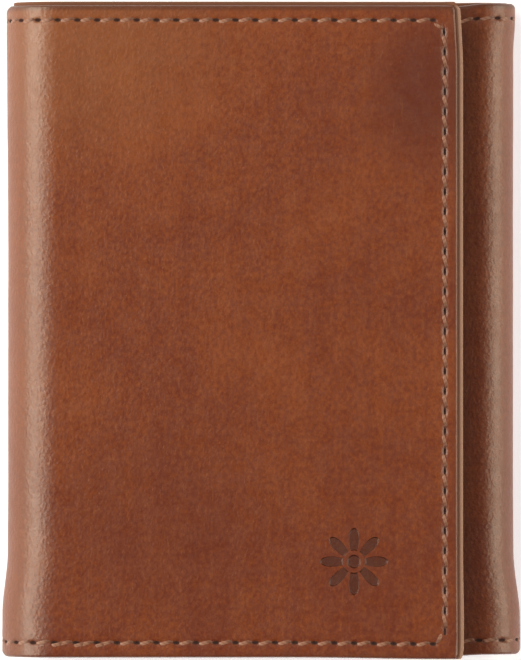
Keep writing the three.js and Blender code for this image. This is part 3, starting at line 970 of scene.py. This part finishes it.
# %% Make the inner leather's finish
def skived_calf():
    """Matte thin leather with pale raw edges."""
    finish, output = new_finish("skived_calf_inner_leather")
    flat = add(finish, "ShaderNodeAttribute", attribute_name="flat_mm").outputs["Vector"]
    edge = add(finish, "ShaderNodeAttribute", attribute_name="edge_mm").outputs["Fac"]
    clouds = add(finish, "ShaderNodeTexNoise",
                 {"Vector": flat, "Scale": 0.25, "Detail": 6.0, "Roughness": 0.62})
    shade = add(finish, "ShaderNodeMapRange", [clouds, 0.32, 0.68, 0.0, 1.0],
                interpolation_type="SMOOTHSTEP")
    raw = add(finish, "ShaderNodeMapRange", [edge, 0.10, 0.75, 1.0, 0.0],
              interpolation_type="SMOOTHSTEP")
    colour = linear("794829")
    for amount, mark in ((shade, "885535"), (raw, "c4a294")):
        colour = add(finish, "ShaderNodeMix", {"Factor": amount, 6: colour, 7: linear(mark)},
                     data_type="RGBA").outputs[2]
    height = grain_height(finish, flat, 0.32, 0.022)
    bump = add(finish, "ShaderNodeBump", {"Height": height, "Strength": 1.0, "Distance": 1.0})
    skin = add(finish, "ShaderNodeBsdfPrincipled",
               {"Base Color": colour, "Roughness": 0.62, "IOR": 1.46, "Normal": bump})
    finish.node_tree.links.new(skin.outputs[0], output.inputs[0])
    return finish


inner_finish = skived_calf()
print(inner_finish.name, len(inner_finish.node_tree.nodes), "nodes")

# %% [markdown]
# ### Lining twill
# The lining is a dark brown cotton twill, woven with a diagonal rib. Its threads are 0.25 mm apart;
# the rib is drawn 0.6 mm wide so that it shows. At its cut edge the weave is sealed with thin glue,
# which dries smooth. The glue is painted in two tones that follow the light: a pale mauve line along
# the free edge, which is partly a painted highlight, and a browner one along the top.


# %% Make the lining's finish
def brown_twill():
    """Dark cotton twill with a diagonal rib and a sealed edge."""
    finish, output = new_finish("brown_cotton_twill")
    flat = add(finish, "ShaderNodeAttribute", attribute_name="flat_mm").outputs["Vector"]
    edge = add(finish, "ShaderNodeAttribute", attribute_name="edge_mm").outputs["Fac"]
    rib_way = add(finish, "ShaderNodeMapping", {"Vector": flat, "Rotation": (0, 0, 0.9)})
    rib = add(finish, "ShaderNodeTexWave",
              {"Vector": rib_way, "Scale": 0.52, "Distortion": 0.6, "Detail": 2.0},
              wave_type="BANDS", bands_direction="X").outputs["Fac"]
    weave = add(finish, "ShaderNodeTexNoise",
                {"Vector": flat, "Scale": 4.0, "Detail": 3.0, "Roughness": 0.7})
    shade = add(finish, "ShaderNodeMath", [rib, weave], operation="MULTIPLY")
    sealed = add(finish, "ShaderNodeMapRange", [edge, 0.80, 1.0, 1.0, 0.0],
                 interpolation_type="SMOOTHSTEP")
    y = add(finish, "ShaderNodeSeparateXYZ", [flat]).outputs[1]
    # painted light: one glue in two tones, paler along the free edge, where it is partly a painted
    # highlight, and browner along the top
    top = add(finish, "ShaderNodeMapRange", [y, 52.1, 52.5, 0.0, 1.0],
              interpolation_type="SMOOTHSTEP")
    glue_with_painted_light = add(finish, "ShaderNodeMix", {"Factor": top, 6: linear("a47f6e"), 7: linear("7a4e3a")},
               data_type="RGBA").outputs[2]
    colour = linear("3a2419")
    for amount, mark in ((shade, linear("6a4a37")), (sealed, glue_with_painted_light)):
        colour = add(finish, "ShaderNodeMix", {"Factor": amount, 6: colour, 7: mark},
                     data_type="RGBA").outputs[2]
    open_weave = add(finish, "ShaderNodeMapRange", [sealed, 0.0, 0.6, 1.0, 0.0],
                     interpolation_type="SMOOTHSTEP")
    height = add(finish, "ShaderNodeMath", [rib, 0.05 * MM], operation="MULTIPLY")
    height = add(finish, "ShaderNodeMath", [height, open_weave], operation="MULTIPLY")
    bump = add(finish, "ShaderNodeBump", {"Height": height, "Strength": 1.0, "Distance": 1.0})
    cloth = add(finish, "ShaderNodeBsdfPrincipled",
                {"Base Color": colour, "Roughness": 0.85, "IOR": 1.45, "Normal": bump,
                 "Sheen Weight": 0.1, "Sheen Roughness": 0.4})
    finish.node_tree.links.new(cloth.outputs[0], output.inputs[0])
    return finish


lining_finish = brown_twill()
print(lining_finish.name, len(lining_finish.node_tree.nodes), "nodes")

# %% [markdown]
# ### Waxed thread
# The thread is three plies of polyester, twisted and waxed, tan with a pink cast. The plies show as
# slanted stripes along each stitch, one about every 0.9 mm, and the wax gives a soft shine. Each
# stitch is pulled down at one end, and that end is painted darker: painted shade where it dives in.


# %% Make the thread's finish
def waxed_thread():
    """Twisted tan thread; the yarn attribute holds the way round it and along it."""
    finish, output = new_finish("waxed_twisted_thread")
    yarn = add(finish, "ShaderNodeAttribute", attribute_name="yarn").outputs["Vector"]
    split = add(finish, "ShaderNodeSeparateXYZ", [yarn]).outputs
    angle = add(finish, "ShaderNodeMath", [split[1], split[0]], operation="ARCTAN2")
    angle = add(finish, "ShaderNodeMath", [angle, 2.0], operation="MULTIPLY")
    ply = add(finish, "ShaderNodeMath", [split[2], 2 * math.pi / 0.9, angle],
              operation="MULTIPLY_ADD")
    for operation, value in (("MULTIPLY", 0.5), ("SINE", 0.0), ("ABSOLUTE", 0.0)):
        ply = add(finish, "ShaderNodeMath", [ply, value], operation=operation)
    # painted shade: the end of each stitch that dives into the leather is painted darker
    painted_end_shade = add(finish, "ShaderNodeMapRange", [split[2], -1.3, 0.7, 0.85, 0.0],
               interpolation_type="SMOOTHSTEP")
    colour = linear("8b5c47")
    for amount, mark in ((ply, "a17665"), (painted_end_shade, "5c3222")):
        colour = add(finish, "ShaderNodeMix", {"Factor": amount, 6: colour, 7: linear(mark)},
                     data_type="RGBA").outputs[2]
    height = add(finish, "ShaderNodeMath", [ply, 0.03 * MM], operation="MULTIPLY")
    bump = add(finish, "ShaderNodeBump", {"Height": height, "Strength": 1.0, "Distance": 1.0})
    wax = add(finish, "ShaderNodeBsdfPrincipled",
              {"Base Color": colour, "Roughness": 0.5, "IOR": 1.5, "Normal": bump})
    finish.node_tree.links.new(wax.outputs[0], output.inputs[0])
    return finish


thread_finish = waxed_thread()
print(thread_finish.name, len(thread_finish.node_tree.nodes), "nodes")

# %% [markdown]
# ### Clear film
# The window is soft clear vinyl. It lets most light through, shines, and has faint scuffs that a
# card leaves as it slides in.


# %% Make the film's finish
def clear_vinyl():
    """Soft clear film with faint scuffs."""
    finish, output = new_finish("clear_vinyl_film")
    flat = add(finish, "ShaderNodeAttribute", attribute_name="flat_mm").outputs["Vector"]
    way = add(finish, "ShaderNodeMapping", {"Vector": flat, "Scale": (1.6, 0.08, 1.0)})
    scuffs = add(finish, "ShaderNodeTexNoise",
                 {"Vector": way, "Scale": 0.8, "Detail": 4.0, "Roughness": 0.6})
    gloss = add(finish, "ShaderNodeMapRange", [scuffs, 0.5, 0.75, 0.10, 0.20],
                interpolation_type="SMOOTHSTEP")
    colour = add(finish, "ShaderNodeMix",
                 {"Factor": scuffs, 6: linear("efeee9"), 7: linear("e6e5df")},
                 data_type="RGBA").outputs[2]
    film = add(finish, "ShaderNodeBsdfPrincipled",
               {"Base Color": colour, "Roughness": gloss, "IOR": 1.52,
                "Transmission Weight": 0.9, "Alpha": 0.35})
    finish.node_tree.links.new(film.outputs[0], output.inputs[0])
    return finish


film_finish = clear_vinyl()
print(film_finish.name, len(film_finish.node_tree.nodes), "nodes")

# %% [markdown]
# ## Put the pieces in place
# The lengths of the shell are baked where they lie and are not put on a body. The pockets, their
# seams and the window lie on flats and ride on one body. Every piece stands for its plain solid.


# %% Bake the shell's lengths in place, and give pieces their finish
def bend(piece):
    """Bakes the placement of one length of a ply into its mesh; it is not put on a body."""
    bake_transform(piece)


def dress(piece, finish):
    """Gives a piece its finish."""
    piece.data.materials.append(finish)


# %% The cover, the lining, the panel and the outside seam
STANDS_FOR = {
    "front": ["front_flap"],
    "left_fold": ["left_spine", "back"],
    "right_fold": ["right_spine"],
    "inner": ["inner_flap"],
}
for side in SIDES:
    plies = [
        (covers[side], cover_finish, "cover_leather", "_cover", COVER),
        (linings[side], lining_finish, "lining_cloth", "_lining", LINING),
        (panels[side], inner_finish, "inner_leather", "_panel", PANEL),
        (seams[side], thread_finish, "thread", "_thread", (0, 0.2)),
    ]
    for piece, finish, slot, ending, depths in plies:
        dress(piece, finish)
        bend(piece)
        for body in STANDS_FOR[side]:
            names = [n for n in frame["nodes"] if n.startswith(body + ending)]
            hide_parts(*names)

# %% The pockets, their tails and the inside seams
for node, piece in pockets.items():
    body = "front_flap" if node.startswith("front") else "inner_flap"
    cloth = "tail" in node
    dress(piece, lining_finish if cloth else inner_finish)
    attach(piece, body)
    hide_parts(node)
    if cloth:
        start, end, low, high = pocket_span(node)[:4]
for piece, body in ((seam_front_inside, "front_flap"), (seam_inner_inside, "inner_flap")):
    dress(piece, thread_finish)
    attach(piece, body)
    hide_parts(body + "_inside_thread")

# %% The identity window
for piece, finish, slot, node in (
    (id_frame, inner_finish, "inner_leather", "id_window_frame"),
    (id_film, film_finish, "window_film", "id_window_film"),
    (seam_window, thread_finish, "thread", "id_window_thread"),
):
    dress(piece, finish)
    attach(piece, "back")
    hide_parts(node)

# %% [markdown]
# ## Floor, light and camera
# The wallet lies on a plain pale table. Two long softboxes stand low on its left and right, the left
# one stronger, so that each fold carries a highlight and the free edge of the front flap throws a
# shadow on the inner flap. A weak box above fills the flat face. The table is set a little low,
# because the leather of the back is slightly wavy.


# %% The floor
def pale_paper():
    """Matte off-white paper with a faint tooth."""
    finish, output = new_finish("pale_paper_floor")
    where = add(finish, "ShaderNodeTexCoord").outputs["Object"]
    tooth = add(finish, "ShaderNodeTexNoise", {"Vector": where, "Scale": 900.0, "Detail": 3.0})
    colour = add(finish, "ShaderNodeMix",
                 {"Factor": tooth, 6: linear("fbfbfb"), 7: linear("ffffff")},
                 data_type="RGBA").outputs[2]
    paper = add(finish, "ShaderNodeBsdfPrincipled",
                {"Base Color": colour, "Roughness": 0.9, "Emission Color": linear("e6ebff"),
                 "Emission Strength": 0.45})
    finish.node_tree.links.new(paper.outputs[0], output.inputs[0])
    return finish


FLOOR_LOW = 0.2
bm = bmesh.new()
bmesh.ops.create_grid(bm, x_segments=8, y_segments=8, size=1.5)
bmesh.ops.translate(bm, verts=bm.verts[:], vec=(0, 0, -FLOOR_LOW * MM))
floor_mesh = bpy.data.meshes.new("floor")
bm.to_mesh(floor_mesh)
bm.free()
floor = bpy.data.objects.new("floor", floor_mesh)
floor_mesh.materials.append(pale_paper())
bpy.context.scene.collection.objects.link(floor)


# %% Softboxes
def softbox(name, place, size, power, colour):
    """A soft lamp that faces the wallet."""
    lamp = bpy.data.lights.new(name, "AREA")
    lamp.shape = "RECTANGLE"
    lamp.size, lamp.size_y = size
    lamp.energy = power
    lamp.color = linear(colour)[:3]
    holder = bpy.data.objects.new(name, lamp)
    bpy.context.scene.collection.objects.link(holder)
    aim = Vector((0, 0, 0.01)) - Vector(place)
    holder.location = place
    holder.rotation_euler = aim.to_track_quat("-Z", "Y").to_euler()


softbox("left_softbox", (-0.84, 0.05, 0.55), (1.1, 0.5), 12.3, "fff9e4")
softbox("right_softbox", (0.88, 0.0, 0.48), (1.0, 0.60), 9.0, "fff6dc")
softbox("top_fill", (-0.42, 0.4, 0.66), (0.8, 0.4), 2.3, "fff0da")
world = bpy.data.worlds.new("studio")
world.use_nodes = True
world.node_tree.nodes["Background"].inputs[0].default_value = linear("f4f6fa")
world.node_tree.nodes["Background"].inputs[1].default_value = 0.07
bpy.context.scene.world = world

# %% The camera
bpy.context.scene.view_settings.view_transform = "Standard"
HIGH = 1.8
SENSOR = 24.0
VIEW_HIGH = 0.1066
eye = bpy.data.cameras.new("camera")
eye.sensor_fit = "VERTICAL"
eye.sensor_height = SENSOR
eye.lens = SENSOR * (HIGH - TOP_Z * MM) / VIEW_HIGH
eye.clip_start = 0.01
camera = bpy.data.objects.new("camera", eye)
camera.location = (0.0001, -0.00008, HIGH)
bpy.context.scene.collection.objects.link(camera)
bpy.context.scene.camera = camera
print("the camera is", HIGH, "m up and sees", VIEW_HIGH, "m at the height of the front flap")
